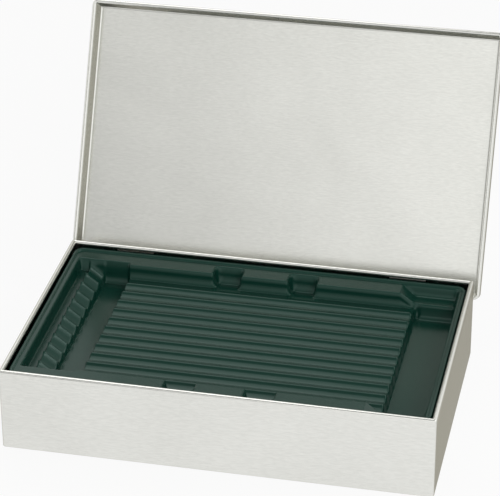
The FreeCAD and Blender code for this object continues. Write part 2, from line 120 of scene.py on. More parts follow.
def streak_group() -> bpy.types.NodeTree:
    """Build the grain group: stretched fine noise and broad soft clouds.

    Returns:
        Group with Stretch X, Y and Z inputs and Grain, Cloud and Smudge outputs from 0 to 1.
    """
    tree = new_group(
        "sheet_grain",
        tuple(zip(("Stretch X", "Stretch Y", "Stretch Z"), GrainAxis.EVEN.value)),
        (("Grain", "NodeSocketFloat"), ("Cloud", "NodeSocketFloat"), ("Smudge", "NodeSocketFloat")),
    )
    entry, leave = tree.nodes["Group Input"], tree.nodes["Group Output"]
    coords = tree.nodes.new("ShaderNodeTexCoord")
    stretch = tree.nodes.new("ShaderNodeCombineXYZ")
    for index in range(3):
        tree.links.new(entry.outputs[index], stretch.inputs[index])
    scaled = tree.nodes.new("ShaderNodeVectorMath")
    scaled.operation = "MULTIPLY"
    tree.links.new(coords.outputs["Object"], scaled.inputs[0])
    tree.links.new(stretch.outputs[0], scaled.inputs[1])
    for label, source, scale, detail in (
        ("Grain", scaled.outputs[0], 1.0, 3.0),
        ("Cloud", coords.outputs["Object"], 14.0, 2.0),
        ("Smudge", coords.outputs["Object"], 60.0, 4.0),
    ):
        noise = tree.nodes.new("ShaderNodeTexNoise")
        noise.inputs["Scale"].default_value = scale
        noise.inputs["Detail"].default_value = detail
        tree.links.new(source, noise.inputs["Vector"])
        tree.links.new(noise.outputs[0], leave.inputs[label])
    return tree


@dataclass(frozen=True)
class Finish:
    """A finish for one kind of surface, with grain in its colour, roughness and bump.

    The wave is the depth, in metres, of the slight unevenness of a sheet.
    """

    name: str
    colour: tuple[float, float, float]
    deep: tuple[float, float, float]
    metallic: float
    roughness: float
    rough_swing: float
    grain: GrainAxis
    bump: float
    specular: float = 0.5
    edge_tint: tuple[float, float, float] = (1.0, 1.0, 1.0)
    wave: float = 0.0

    def material(self, grain_tree: bpy.types.NodeTree) -> bpy.types.Material:
        """Build the material.

        Args:
            grain_tree: The shared grain group.

        Returns:
            The finished material.
        """
        made = bpy.data.materials.new(self.name)
        made.use_nodes = True
        tree = made.node_tree
        shader = tree.nodes["Principled BSDF"]
        shader.inputs["Metallic"].default_value = self.metallic
        shader.inputs["Specular IOR Level"].default_value = self.specular
        shader.inputs["Specular Tint"].default_value = (*self.edge_tint, 1.0)
        grain = tree.nodes.new("ShaderNodeGroup")
        grain.node_tree = grain_tree
        for index, value in enumerate(self.grain.value):
            grain.inputs[index].default_value = value
        blend = math_node(tree, "ADD", math_node(tree, "MULTIPLY", grain.outputs["Grain"], GRAIN_SHARE),
                          math_node(tree, "MULTIPLY", grain.outputs["Cloud"], CLOUD_SHARE))
        ramp = tree.nodes.new("ShaderNodeValToRGB")
        for element, place, tone in zip(ramp.color_ramp.elements, TONE_STOPS, (self.deep, self.colour)):
            element.position = place
            element.color = (*tone, 1.0)
        tree.links.new(blend, ramp.inputs[0])
        tree.links.new(ramp.outputs[0], shader.inputs["Base Color"])
        swing = tree.nodes.new("ShaderNodeMapRange")
        swing.inputs["From Min"].default_value, swing.inputs["From Max"].default_value = SMUDGE_RANGE
        swing.inputs["To Min"].default_value = self.roughness - self.rough_swing
        swing.inputs["To Max"].default_value = self.roughness + self.rough_swing
        tree.links.new(grain.outputs["Smudge"], swing.inputs[0])
        tree.links.new(swing.outputs[0], shader.inputs["Roughness"])
        bump = tree.nodes.new("ShaderNodeBump")
        bump.inputs["Strength"].default_value = self.bump
        bump.inputs["Distance"].default_value = GRAIN_DEPTH
        tree.links.new(grain.outputs["Grain"], bump.inputs["Height"])
        if self.wave:
            wave = tree.nodes.new("ShaderNodeBump")
            wave.inputs["Distance"].default_value = self.wave
            tree.links.new(grain.outputs["Cloud"], wave.inputs["Height"])
            tree.links.new(wave.outputs[0], bump.inputs["Normal"])
        tree.links.new(bump.outputs[0], shader.inputs["Normal"])
        return made


TINPLATE = Finish(name="tinplate", colour=(0.82, 0.822, 0.785), deep=(0.72, 0.722, 0.685), metallic=1.0,
                  roughness=0.26, rough_swing=0.006, grain=GrainAxis.ALONG_X, bump=0.012,
                  edge_tint=(0.36, 0.34, 0.28), wave=0.0004)
HINGE_STEEL = Finish(name="hinge_steel", colour=(0.62, 0.62, 0.60), deep=(0.50, 0.50, 0.48), metallic=1.0,
                     roughness=0.36, rough_swing=0.05, grain=GrainAxis.EVEN, bump=0.2)
TRAY_PLASTIC = Finish(name="tray_plastic", colour=(0.0042, 0.036, 0.0245), deep=(0.0034, 0.031, 0.021), metallic=0.0,
                      roughness=0.25, rough_swing=0.01, grain=GrainAxis.EVEN, bump=0.004, specular=0.38,
                      edge_tint=(0.78, 1.0, 0.93))


# --------------------------------------------------------------------------- mesh helpers


def finish_piece(mesh: bmesh.types.BMesh, name: str, material: bpy.types.Material, body: BodyName,
                 replaces: Sequence[str], flat_area: float = math.inf) -> bpy.types.Object:
    """Turn a bmesh in millimetres into a piece that rides on its body.

    Args:
        mesh: The finished bmesh, which is freed.
        name: Name of the piece.
        material: Its material.
        body: The body that it rides on.
        replaces: CAD nodes that it stands for.
        flat_area: Faces larger than this, in square millimetres, shade flat.

    Returns:
        The new object.
    """
    for face in mesh.faces:
        face.smooth = face.calc_area() < flat_area
    bmesh.ops.scale(mesh, vec=Vector((MM, MM, MM)), verts=mesh.verts)
    data = bpy.data.meshes.new(name)
    mesh.to_mesh(data)
    mesh.free()
    data.materials.append(material)
    piece = bpy.data.objects.new(name, data)
    bpy.context.scene.collection.objects.link(piece)
    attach(piece, body.value)
    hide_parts(*replaces)
    LOG.info("made %s with %d faces", name, len(data.polygons))
    return piece


@dataclass(frozen=True)
class RoundedRect:
    """Rounded rectangle that the rings of a shell are offset from, in millimetres."""

    half_x: float
    half_y: float
    corner: float
    steps: int = 8

    def place(self, slot: int, inset: float, height: float, front: float = 0.0) -> Vector:
        """Place of one vertex of a ring.

        Args:
            slot: The vertex's number round the ring.
            inset: Distance inside the rectangle.
            height: Height of the ring.
            front: Distance that the ring's front side lies further in.

        Returns:
            Its place.
        """
        radius = max(self.corner - inset, LEAST_RADIUS)
        half_step = math.pi / (4 * self.steps)
        turn = half_step * (2 * slot + 1)
        over_x = math.copysign(self.half_x - inset - radius, math.cos(turn))
        over_y = math.copysign(self.half_y - inset - radius, math.sin(turn))
        reach = radius / math.cos(half_step)
        shift = front if over_y < 0 else 0.0
        return Vector((over_x + reach * math.cos(turn), over_y + reach * math.sin(turn) + shift, height))

    def shell(self, mesh: bmesh.types.BMesh, profile: Sequence[tuple[float, ...]]) -> None:
        """Extrude a closed shell, ring by ring, along a profile of insets and heights.

        Args:
            mesh: The bmesh that gets it.
            profile: Inset, height and, where the front side differs, its shift, from one cap to the other.
        """
        count = 4 * self.steps
        first = bmesh.ops.create_circle(mesh, cap_ends=False, segments=count, radius=1.0)["verts"]
        slots = {vert: round(math.atan2(vert.co.y, vert.co.x) / (2 * math.pi / count)) % count for vert in first}
        for vert, slot in slots.items():
            vert.co = self.place(slot, *profile[0])
        ring = list({edge for vert in first for edge in vert.link_edges})
        bmesh.ops.contextual_create(mesh, geom=ring)
        for station in profile[1:]:
            made = bmesh.ops.extrude_edge_only(mesh, edges=ring)["geom"]
            fresh = {item for item in made if isinstance(item, bmesh.types.BMVert)}
            ring = [item for item in made if isinstance(item, bmesh.types.BMEdge)]
            ring = [edge for edge in ring if set(edge.verts) <= fresh]
            for vert in fresh:
                below = next(edge.other_vert(vert) for edge in vert.link_edges if edge.other_vert(vert) not in fresh)
                slots[vert] = slots[below]
                vert.co = self.place(slots[vert], *station)
        bmesh.ops.contextual_create(mesh, geom=ring)
        bmesh.ops.recalc_face_normals(mesh, faces=mesh.faces)


def arc(centre: tuple[float, float], radius: float, start: float, stop: float, steps: int) -> list[tuple[float, float]]:
    """Points of an arc.

    Args:
        centre: Its centre.
        radius: Its radius.
        start: First angle in degrees.
        stop: Last angle in degrees.
        steps: Number of spans.

    Returns:
        The points, both ends included.
    """
    angles = [math.radians(start + (stop - start) * i / steps) for i in range(steps + 1)]
    return [(centre[0] + radius * math.cos(a), centre[1] + radius * math.sin(a)) for a in angles]


# --------------------------------------------------------------------------- tin base


@dataclass
class TinBase:
    """The drawn base with its inward rolled rim, in millimetres."""

    length: float = 202.4
    depth: float = 126.4
    height: float = 41.6
    corner: float = 1.25
    foot: float = 0.6
    gauge: float = 0.35
    roll: float = 1.15
    crease_depth: float = 0.14
    crease_drop: float = 2.45
    inner_round: float = 0.6
    cap_inset: float = 6.0

    def profile(self) -> list[tuple[float, float]]:
        """Insets and heights from the middle of the underside, over the rim, to the floor inside."""
        top, roll = self.height, self.roll
        points = [(self.cap_inset, 0.0), (1.2, 0.0)]
        points += arc((self.foot, self.foot), self.foot, 270, 180, 5)
        crease = top - self.crease_drop
        points += [(0.0, 1.6), (0.0, crease - 0.7), (0.0, crease - 0.3), (self.crease_depth, crease)]
        points += [(0.02, crease + 0.35)]
        points += arc((roll, top - roll), roll, 175, -134, 26)
        points += [(self.gauge, top - 2.6), (self.gauge, 2.0)]
        inner = self.inner_round
        points += arc((self.gauge + inner, self.gauge + inner), inner, 180, 270, 4)
        points += [(2.0, self.gauge), (self.cap_inset, self.gauge)]
        return points

    def build(self, material: bpy.types.Material) -> bpy.types.Object:
        """Build the base shell.

        Args:
            material: Its finish.

        Returns:
            The finished piece.
        """
        mesh = bmesh.new()
        RoundedRect(self.length / 2, self.depth / 2, self.corner).shell(mesh, self.profile())
        return finish_piece(mesh, "tin_base", material, BodyName.BASE, ["base_shell"], FLAT_AREA)


@dataclass
class TinLid:
    """The shallow lid with its rolled edge: drawn shut, then turned open, in millimetres."""

    length: float = 207.0
    depth: float = 131.0
    corner: float = 3.0
    top: float = 42.55
    skirt: float = 9.3
    gauge: float = 0.35
    roll: float = 1.05
    outer_edge: float = 2.9
    cove_rise: float = 3.5
    cove_span: float = 2.25
    front_cove: float = 0.8
    cap_inset: float = 9.0
    axis_back: float = 64.6
    axis_up: float = 30.25
    open_angle: float = 116.0

    def profile(self) -> list[tuple[float, ...]]:
        """Stations from the outside of the panel, round the rolled edge, to its inside; the front cove is wider."""
        low, under = self.top - self.skirt, self.top - self.gauge
        points = [(self.cap_inset, self.top), (self.outer_edge + 0.8, self.top)]
        points += arc((self.outer_edge, self.top - self.outer_edge), self.outer_edge, 90, 180, 8)
        points += [(0.0, self.top - self.outer_edge - 0.6), (0.0, low + self.roll + 0.6)]
        points += arc((self.roll, low + self.roll), self.roll, 180, 488, 24)
        points += [(self.gauge, low + 2 * self.roll + 0.1)]
        rise, span = self.cove_rise, self.cove_span
        for part, drop in ((0.0, 1.4), (0.01, 1.03), (0.05, 0.95), (0.95, 0.04), (0.98, 0.012), (1.0, 0.0)):
            points.append((self.gauge + part * span, under - drop * rise, part * self.front_cove))
        points += [(self.gauge + span + 0.8, under, self.front_cove), (self.cap_inset, under)]
        return points

    def swing_open(self, mesh: bmesh.types.BMesh) -> None:
        """Turn a mesh drawn shut to where it stands open."""
        bmesh.ops.rotate(mesh, verts=mesh.verts, cent=Vector((0.0, self.axis_back, self.axis_up)),
                         matrix=Matrix.Rotation(math.radians(-self.open_angle), 3, "X"))

    def build(self, material: bpy.types.Material) -> bpy.types.Object:
        """Build the lid shell.

        Args:
            material: Its finish.

        Returns:
            The finished piece.
        """
        mesh = bmesh.new()
        RoundedRect(self.length / 2, self.depth / 2, self.corner).shell(mesh, self.profile())
        self.swing_open(mesh)
        return finish_piece(mesh, "tin_lid", material, BodyName.LID, ["lid_shell"], FLAT_AREA)


# --------------------------------------------------------------------------- moulded trays


Heights = np.ndarray


@dataclass(frozen=True)
class WallForm:
    """Shape of a moulded wall: its slope and the rounding at its top and foot, in millimetres."""

    slope: float = 82.0
    top_round: float = 0.55
    foot_round: float = 0.55

    def drop(self, distance: Heights, depth: Heights) -> Heights:
        """Fall below the top surface.

        Args:
            distance: Distance in from the upper edge of the wall; negative outside it.
            depth: Height of the wall at each point.

        Returns:
            How far the wall has fallen at each point, from 0 to its depth.
        """
        tilt = math.radians(self.slope)
        rise = (self.top_round + self.foot_round) * (1 - math.cos(tilt))
        deep = np.maximum(depth, 1e-6)
        fit = np.minimum(1.0, deep / max(rise, 1e-6))
        top, foot = self.top_round * fit, self.foot_round * fit
        straight = deep - (top + foot) * (1 - math.cos(tilt))
        first = top * math.sin(tilt)
        second = first + straight / math.tan(tilt)
        third = second + foot * math.sin(tilt)
        along = np.clip(distance, 0.0, None)
        upper = top - np.sqrt(np.maximum(top**2 - np.minimum(along, first) ** 2, 0.0))
        middle = top * (1 - math.cos(tilt)) + (along - first) * math.tan(tilt)
        lower = deep - foot + np.sqrt(np.maximum(foot**2 - np.clip(third - along, 0.0, foot) ** 2, 0.0))
        fall = np.where(along < first, upper, np.where(along < second, middle, lower))
        return np.where(along >= third, deep, fall) * (depth > 0)


STEEP_WALL = WallForm()
LIP_WALL = WallForm(84.0, 0.2, 0.25)
SHELF_WALL = WallForm(70.0, 0.4, 0.2)
BED_WALL = WallForm(84.0, 0.55, 0.15)
NOTCH_WALL = WallForm(80.0, 0.9, 1.6)
END_WALL = WallForm(79.0, 0.5, 0.5)
TROUGH_WALL = WallForm(84.0, 0.5, 0.6)
WELL_WALL = WallForm(80.0, 0.4, 0.5)


@dataclass(frozen=True)
class Pocket:
    """Rounded rectangle in plan that a pocket is pressed into, in millimetres."""

    left: float
    right: float
    front: float
    back: float
    corner: float
    wall: WallForm

    def inside(self, across: Heights, along: Heights) -> Heights:
        """Distance in from the pocket's edge at each point; negative outside it."""
        mid_x, mid_y = (self.left + self.right) / 2, (self.front + self.back) / 2
        over_x = np.abs(across - mid_x) - (self.right - self.left) / 2 + self.corner
        over_y = np.abs(along - mid_y) - (self.back - self.front) / 2 + self.corner
        outside = np.hypot(np.maximum(over_x, 0.0), np.maximum(over_y, 0.0))
        return self.corner - outside - np.minimum(np.maximum(over_x, over_y), 0.0)

    def press(self, surface: Heights, across: Heights, along: Heights, floor: Heights | float) -> Heights:
        """Press the pocket into a surface.

        Args:
            surface: Heights before.
            across: X of each point.
            along: Y of each point.
            floor: Height of the pocket's floor.

        Returns:
            Heights after.
        """
        return surface - self.wall.drop(self.inside(across, along), surface - floor)


def soft_lower(first: Heights, second: Heights, blend: float) -> Heights:
    """The lower of two surfaces with their crease rounded.

    Args:
        first: One surface.
        second: The other surface.
        blend: Height over which the crease is rounded.

    Returns:
        The combined surface.
    """
    weight = np.clip(0.5 + 0.5 * (second - first) / blend, 0.0, 1.0)
    return second * (1 - weight) + first * weight - blend * weight * (1 - weight)


def spaced_lines(low: float, high: float, features: Sequence[float], fine: float, growth: float,
                 coarse: float) -> Heights:
    """Grid lines that gather round the features of a moulding.

    Args:
        low: First line.
        high: Last line.
        features: Places that need fine lines.
        fine: Spacing at a feature.
        growth: How fast the spacing grows with distance from a feature.
        coarse: Largest spacing.

    Returns:
        The lines' places in order.
    """
    stops = sorted({low, high, *[f for f in features if low < f < high]})
    lines = [low]
    for start, stop in zip(stops, stops[1:]):
        span = stop - start
        sample = np.linspace(0.0, span, 400)
        spacing = np.minimum(fine + growth * np.minimum(sample, span - sample), coarse)
        count = np.concatenate(([0.0], np.cumsum(np.diff(sample) / spacing[:-1])))
        whole = max(1, round(float(count[-1])))
        steps = np.interp(np.linspace(0.0, count[-1], whole + 1), count, sample)
        lines += [start + float(step) for step in steps[1:]]
    return np.array(lines)


@dataclass
class MouldedTray:
    """A tray pressed from one plastic sheet, in millimetres. Subclasses say its surface.

    The sizes are those of the visible face; the gauge lies below and inside it.
    """

    half_length: float = 98.2
    half_depth: float = 60.2
    corner: float = 5.0
    edge_round: float = 0.45
    edge_drops: tuple[float, float] = (0.25, 1.0)
    gauge: float = 0.6
    pitch: float = 8.26
    grooves: int = 12
    groove_depth: float = 1.7
    groove_radius: float = 4.9
    ridge_end: float = 0.5
    ridge_drop: float = 0.45
    ridge_blend: float = 0.1
    foot: float = 25.5
    left: float = -94.6
    right: float = 95.4
    bed_left: float = -67.7
    bed_right: float = 73.6
    bed_half: float = 49.56
    bed_reach: float = 4.0
    bed_corner: float = 0.6
    notch_centres: tuple[float, float] = (-18.7, 18.7)
    notch_width: float = 16.0
    notch_inner: float = 42.0
    notch_outer: float = 57.3
    notch_corner: float = 3.4

    def surface(self, across: Heights, along: Heights) -> Heights:
        """Height of the visible face at each point."""
        raise NotImplementedError

    def lines(self) -> tuple[Heights, Heights]:
        """Grid lines across and along the tray."""
        raise NotImplementedError

    def notch_edges(self) -> list[float]:
        """X of the side walls of the finger notches."""
        return [middle + side * self.notch_width / 2 for middle in self.notch_centres for side in (-1, 1)]

    def notches(self) -> list[Pocket]:
        """Plan of each finger notch, at the front and the back of the bed."""
        return [Pocket(middle - self.notch_width / 2, middle + self.notch_width / 2,
                       *sorted((side * self.notch_inner, side * self.notch_outer)), self.notch_corner, NOTCH_WALL)
                for middle in self.notch_centres for side in (-1, 1)]

    def furrow(self, along: Heights, depth: float, lead: float, power: float) -> Heights:
        """Fall below the crests of furrows that drop fast behind each crest and rise slowly to the next.

        Args:
            along: Y of each point.
            depth: Depth of a furrow.
            lead: Share of the pitch that the fast drop takes.
            power: How hollow the slow rise is.

        Returns:
            Fall at each point, 0 at the crests and negative between them.
        """
        part = np.mod(along / self.pitch + self.grooves / 2, 1.0)
        quick = 0.5 - 0.5 * np.cos(np.pi * np.clip(part / lead, 0.0, 1.0))
        slow = 1.0 - np.clip((part - lead) / (1.0 - lead), 0.0, 1.0) ** power
        return -depth * np.where(part < lead, quick, slow)

    def round_groove(self, along: Heights) -> Heights:
        """Fall of the bed's round grooves; the last ones run level into the end walls."""
        radius, depth, middle = self.groove_radius, self.groove_depth, self.pitch * (self.grooves - 1) / 2
        offset = np.where(np.abs(along) > middle, 0.0, self.off_middle(along))
        return radius - depth - np.sqrt(np.maximum(radius**2 - offset**2, 0.0))

    def off_middle(self, along: Heights) -> Heights:
        """Distance of each point from the middle of its groove."""
        return np.mod(along + self.pitch / 2 * (self.grooves % 2), self.pitch) - self.pitch / 2

    def strips(self, across: Heights, along: Heights, left: float, right: float) -> Heights:
        """Fall of the bed's round grooves below their crests; each ridge is rounded off at its ends.

        Args:
            across: X of each point.
            along: Y of each point.
            left: Left end of the bed.
            right: Right end of the bed.

        Returns:
            Fall at each point.
        """
        near = np.clip(1.0 - np.minimum(across - left, right - across) / self.ridge_end, 0.0, 1.0)
        level = -self.ridge_drop * (1.0 - np.sqrt(1.0 - near**2))
        return soft_lower(level, self.round_groove(along), self.ridge_blend)

    def round_plan(self, across: Heights, along: Heights) -> tuple[Heights, Heights]:
        """Draw the grid's square corners in to the tray's rounded ones.

        Args:
            across: X of each point of the square grid.
            along: Y of each point of the square grid.

        Returns:
            The rounded X and Y.
        """
        inset = np.minimum(self.half_length - np.abs(across), self.half_depth - np.abs(along))
        radius = np.maximum(self.corner - inset, 0.0)
        centre_x, centre_y = self.half_length - inset - radius, self.half_depth - inset - radius
        past_x, past_y = np.abs(across) - centre_x, np.abs(along) - centre_y
        corner = (past_x > 1e-9) & (past_y > 1e-9) & (radius > 1e-6)
        safe = np.where(radius > 1e-6, radius, 1.0)
        on_side = past_x >= past_y
        turn = np.where(on_side, past_y / safe, 2.0 - past_x / safe) * math.pi / 4
        new_x = np.where(corner, centre_x + radius * np.cos(turn), np.abs(across))
        new_y = np.where(corner, centre_y + radius * np.sin(turn), np.abs(along))
        return np.copysign(new_x, across), np.copysign(new_y, along)

    def build_sheet(self, name: str, material: bpy.types.Material, body: BodyName) -> bpy.types.Object:
        """Press the sheet, round its edge over, wall it down to the foot and give it its gauge.

        Args:
            name: Name of the CAD node that it stands for; the piece adds _sheet to it.
            material: Its finish.
            body: The body that it rides on.

        Returns:
            The finished piece.
        """
        lines_x, lines_y = self.lines()
        mesh = bmesh.new()
        bmesh.ops.create_grid(mesh, x_segments=len(lines_x) - 1, y_segments=len(lines_y) - 1, size=1.0)
        verts = list(mesh.verts)
        plan = np.array([vert.co[:2] for vert in verts])
        column = np.rint((plan[:, 0] + 1) / 2 * (len(lines_x) - 1)).astype(int)
        row = np.rint((plan[:, 1] + 1) / 2 * (len(lines_y) - 1)).astype(int)
        square_x, square_y = lines_x[column], lines_y[row]
        across, along = self.round_plan(square_x, square_y)
        inset = np.minimum(self.half_length - np.abs(square_x), self.half_depth - np.abs(square_y))
        past = np.clip(self.edge_round - inset, 0.0, None)
        rounding = np.sqrt(np.maximum(self.edge_round**2 - past**2, 0.0))
        height = self.surface(across, along) - self.edge_round + rounding
        for vert, x, y, z in zip(verts, across, along, height):
            vert.co = (x, y, z)
        self.turn_down(mesh)
        bmesh.ops.recalc_face_normals(mesh, faces=mesh.faces)
        if sum(face.normal.z for face in mesh.faces) < 0:
            bmesh.ops.reverse_faces(mesh, faces=mesh.faces)
        piece = finish_piece(mesh, name + "_sheet", material, body, [name])
        wall = piece.modifiers.new("gauge", "SOLIDIFY")
        wall.thickness = self.gauge * MM
        wall.offset = -1.0
        return piece

    def turn_down(self, mesh: bmesh.types.BMesh) -> None:
        """Carry the outer edge straight down in a wall to the foot, with rings close to its top and foot."""
        rim = [edge for edge in mesh.edges if edge.is_boundary]
        top = min(vert.co.z for edge in rim for vert in edge.verts)
        for level in (*[top - drop for drop in self.edge_drops], self.foot + self.edge_drops[1], self.foot):
            made = bmesh.ops.extrude_edge_only(mesh, edges=rim)["geom"]
            rim = [item for item in made if isinstance(item, bmesh.types.BMEdge)]
            for vert in {vert for edge in rim for vert in edge.verts}:
                vert.co.z = level


@dataclass
class UpperTray(MouldedTray):
    """The upper tray with its bed, rack, wells, shelf and finger notches, in millimetres.

    A run is the way across from a wall's upper edge to its foot, which is where grid lines gather. A spacing
    holds the finest grid spacing, how fast it grows away from a wall, and the coarsest.
    """

    rim: float = 39.2
    ledge: float = 38.2
    lip: float = 1.4
    lip_line: float = 0.17
    edge_line: float = 0.3
    crest: float = 32.6
    well: float = 26.1
    shelf: float = 33.4
    trough: float = 31.8
    rack_top: float = 35.6
    rack_fall: float = 4.5
    rack_depth: float = 2.5
    rack_lead: float = 0.25
    rack_power: float = 1.6
    knob_size: float = 0.5
    knob_height: float = 0.55
    knob_inset: float = 0.45
    trough_right: float = -88.3
    well_left: float = -82.2
    left_half: float = 51.5
    right_half: float = 49.0
    shelf_rim: float = 0.5
    shelf_corner: float = 3.0
    ramp_start: float = 67.1
    ramp_round: float = 0.8
    trough_corner: float = 1.2
    rack_corner: float = 2.4
    well_corner: float = 2.0
    end_corner: float = 2.2
    notch_step: float = 0.4
    notch_floor: float = 28.9
    left_run: float = 0.9
    trough_run: float = 0.6
    well_run: float = 0.8
    bed_run: float = 2.2
    right_run: float = 1.6
    crest_lines: tuple[float, ...] = (0.0, 0.05, 0.95)
    spacing_x: tuple[float, float, float] = (0.3, 0.2, 2.2)
    spacing_y: tuple[float, float, float] = (0.28, 0.36, 1.1)

    def lines(self) -> tuple[Heights, Heights]:
        """Grid lines, gathered at the walls of the moulding."""
        lip = (self.edge_line, *[self.lip + step * self.lip_line for step in range(3)])
        walls_x = [*[side * (self.half_length - value) for side in (-1, 1) for value in lip],
                   self.left, self.left + self.left_run, self.trough_right - self.trough_run, self.trough_right,
                   self.well_left, self.well_left + self.well_run, self.bed_left - self.bed_run, self.bed_left,
                   self.ramp_start, self.bed_right, self.bed_right + self.bed_run, self.right - self.right_run,
                   self.right, *self.notch_edges()]
        lines_x = spaced_lines(-self.half_length, self.half_length, walls_x, *self.spacing_x)
        half = [self.bed_half, self.left_half, self.notch_outer, *[self.half_depth - value for value in lip]]
        crests = [(k - part) * self.pitch for k in range(-self.grooves // 2, self.grooves // 2 + 1)
                  for part in self.crest_lines]
        walls_y = [*crests, *half, *[-value for value in half]]
        lines_y = spaced_lines(-self.half_depth, self.half_depth, walls_y, *self.spacing_y)
        return lines_x, lines_y

    def surface(self, across: Heights, along: Heights) -> Heights:
        """Height of the visible face at each point."""
        height = np.full_like(across, self.rim)
        lip = Pocket(-self.half_length + self.lip, self.half_length - self.lip, -self.half_depth + self.lip,
                     self.half_depth - self.lip, self.corner - self.lip, LIP_WALL)
        height = lip.press(height, across, along, self.ledge)

        shelf_half = self.half_depth - self.lip - self.shelf_rim
        shelf = Pocket(self.ramp_start - self.bed_reach, self.right, -shelf_half, shelf_half, self.shelf_corner,
                       SHELF_WALL)
        ramp = (across - self.ramp_start) / (self.bed_right - self.ramp_start)
        slope = (self.ledge - self.shelf) * ramp
        whole = np.full_like(slope, self.ledge - self.shelf)
        ramp_floor = self.ledge - soft_lower(whole, np.maximum(slope, 0.0), self.ramp_round)
        height = shelf.press(height, across, along, np.minimum(ramp_floor, height))

        grooved = self.crest + self.strips(across, along, self.bed_left, self.bed_right)
        bed = Pocket(self.bed_left - self.bed_reach, self.bed_right + self.bed_reach, -self.bed_half, self.bed_half,
                     self.bed_corner, BED_WALL)
        height = bed.press(height, across, along, grooved)

        reach = np.clip((np.abs(along) - self.notch_inner) / (self.notch_outer - self.notch_inner), 0.0, 1.0)
        inner = self.crest - self.notch_step
        for notch in self.notches():
            floor = inner - (inner - self.notch_floor) * reach
            height = notch.press(height, across, along, np.minimum(floor, height))

        height = self.press_left_end(height, across, along)
        end = Pocket(self.bed_right, self.right, -self.right_half, self.right_half, self.end_corner, END_WALL)
        return end.press(height, across, along, np.minimum(self.well, height))

    def scallops(self, along: Heights) -> Heights:
        """Height of the rack's round notches over their crests; the last ones run up the end walls."""
        bowl = self.furrow(along, self.rack_depth, self.rack_lead, self.rack_power)
        middle = self.pitch * (self.grooves - 1) / 2
        beyond, cove = np.clip(np.abs(along) - middle, 0.0, None), self.left_half - middle
        rise = cove - np.sqrt(np.maximum(cove**2 - np.minimum(beyond, cove) ** 2, 0.0)) - self.rack_depth
        return np.where(beyond > 0, rise, bowl)

    def knobs(self, across: Heights, along: Heights) -> Heights:
        """Small bosses where the rack's crests meet the trough."""
        off_crest = self.pitch / 2 - np.abs(self.off_middle(along))
        off_wall = across - self.trough_right - self.knob_inset
        spread = (off_crest / self.knob_size) ** 2 + (off_wall / self.knob_size) ** 2
        return np.where(np.abs(along) < self.bed_half - 1.0, self.knob_height * np.exp(-spread), 0.0)

    def press_left_end(self, height: Heights, across: Heights, along: Heights) -> Heights:
        """Press the trough, the scalloped rack and the well at the left end.

        Args:
            height: Heights before.
            across: X of each point.
            along: Y of each point.

        Returns:
            Heights after.
        """
        place = np.clip((across - self.trough_right) / (self.well_left - self.trough_right), 0.0, 1.0)
        crest = self.rack_top - self.rack_fall * place
        rack = crest + self.scallops(along)
        whole = Pocket(self.left, self.bed_left, -self.left_half, self.left_half, self.rack_corner, STEEP_WALL)
        height = whole.press(height, across, along, np.minimum(rack, height))
        trough = Pocket(self.left, self.trough_right, -self.left_half, self.left_half, self.trough_corner, TROUGH_WALL)
        height = trough.press(height, across, along, np.minimum(self.trough, height))
        well = Pocket(self.well_left, self.bed_left, -self.left_half, self.left_half, self.well_corner, WELL_WALL)
        return well.press(height, across, along, np.minimum(self.well, height)) + self.knobs(across, along)

    def build(self, material: bpy.types.Material) -> bpy.types.Object:
        """Build the upper tray."""
        return self.build_sheet("upper_tray", material, BodyName.UPPER_TRAY)


@dataclass
class LowerTray(MouldedTray):
    """The lower tray: a grooved bed between two wells, with finger notches, in millimetres."""

    foot: float = 0.45
    ledge: float = 25.4
    crest: float = 17.8
    well: float = 11.4
    well_corner: float = 2.4
    notch_floor: float = 16.1
    end_run: float = 1.2
    bed_run: float = 1.6
    spacing_x: tuple[float, float, float] = (0.32, 0.22, 3.0)
    spacing_y: tuple[float, float, float] = (0.34, 0.3, 1.4)

    def lines(self) -> tuple[Heights, Heights]:
        """Grid lines, gathered at the walls of the moulding."""
        walls_x = [self.left, self.left + self.end_run, self.bed_left - self.bed_run, self.bed_left, self.bed_right,
                   self.bed_right + self.bed_run, self.right - self.end_run, self.right, *self.notch_edges()]
        lines_x = spaced_lines(-self.half_length, self.half_length, walls_x, *self.spacing_x)
        half = [self.bed_half, self.notch_outer, self.half_depth - 0.5]
        crests = [k * self.pitch for k in range(-self.grooves // 2, self.grooves // 2 + 1)]
        walls_y = [*crests, *half, *[-value for value in half]]
        lines_y = spaced_lines(-self.half_depth, self.half_depth, walls_y, *self.spacing_y)
        return lines_x, lines_y

    def surface(self, across: Heights, along: Heights) -> Heights:
        """Height of the visible face at each point."""
        height = np.full_like(across, self.ledge)
        grooved = self.crest + self.strips(across, along, self.bed_left, self.bed_right)
        bed = Pocket(self.bed_left - self.bed_reach, self.bed_right + self.bed_reach, -self.bed_half, self.bed_half,
                     self.bed_corner, STEEP_WALL)
        height = bed.press(height, across, along, grooved)
        for notch in self.notches():
            height = notch.press(height, across, along, np.minimum(self.notch_floor, height))
        for ends in ((self.left, self.bed_left), (self.bed_right, self.right)):
            well = Pocket(*ends, -self.bed_half, self.bed_half, self.well_corner, STEEP_WALL)
            height = well.press(height, across, along, np.minimum(self.well, height))
        return height

    def build(self, material: bpy.types.Material) -> bpy.types.Object:
        """Build the lower tray."""
        return self.build_sheet("lower_tray", material, BodyName.LOWER_TRAY)


# --------------------------------------------------------------------------- studio


def seen_rays(tree: bpy.types.NodeTree) -> bpy.types.NodeSocket:
    """Mask of the rays that show the background: to the eye, off gloss and through glass.

    Args:
        tree: Node tree that gets the nodes.

    Returns:
        1 for those rays and 0 for the rest.
    """
    path = tree.nodes.new("ShaderNodeLightPath")
    shown = math_node(tree, "MAXIMUM", path.outputs["Is Camera Ray"], path.outputs["Is Glossy Ray"])
    return math_node(tree, "MAXIMUM", shown, path.outputs["Is Transmission Ray"])


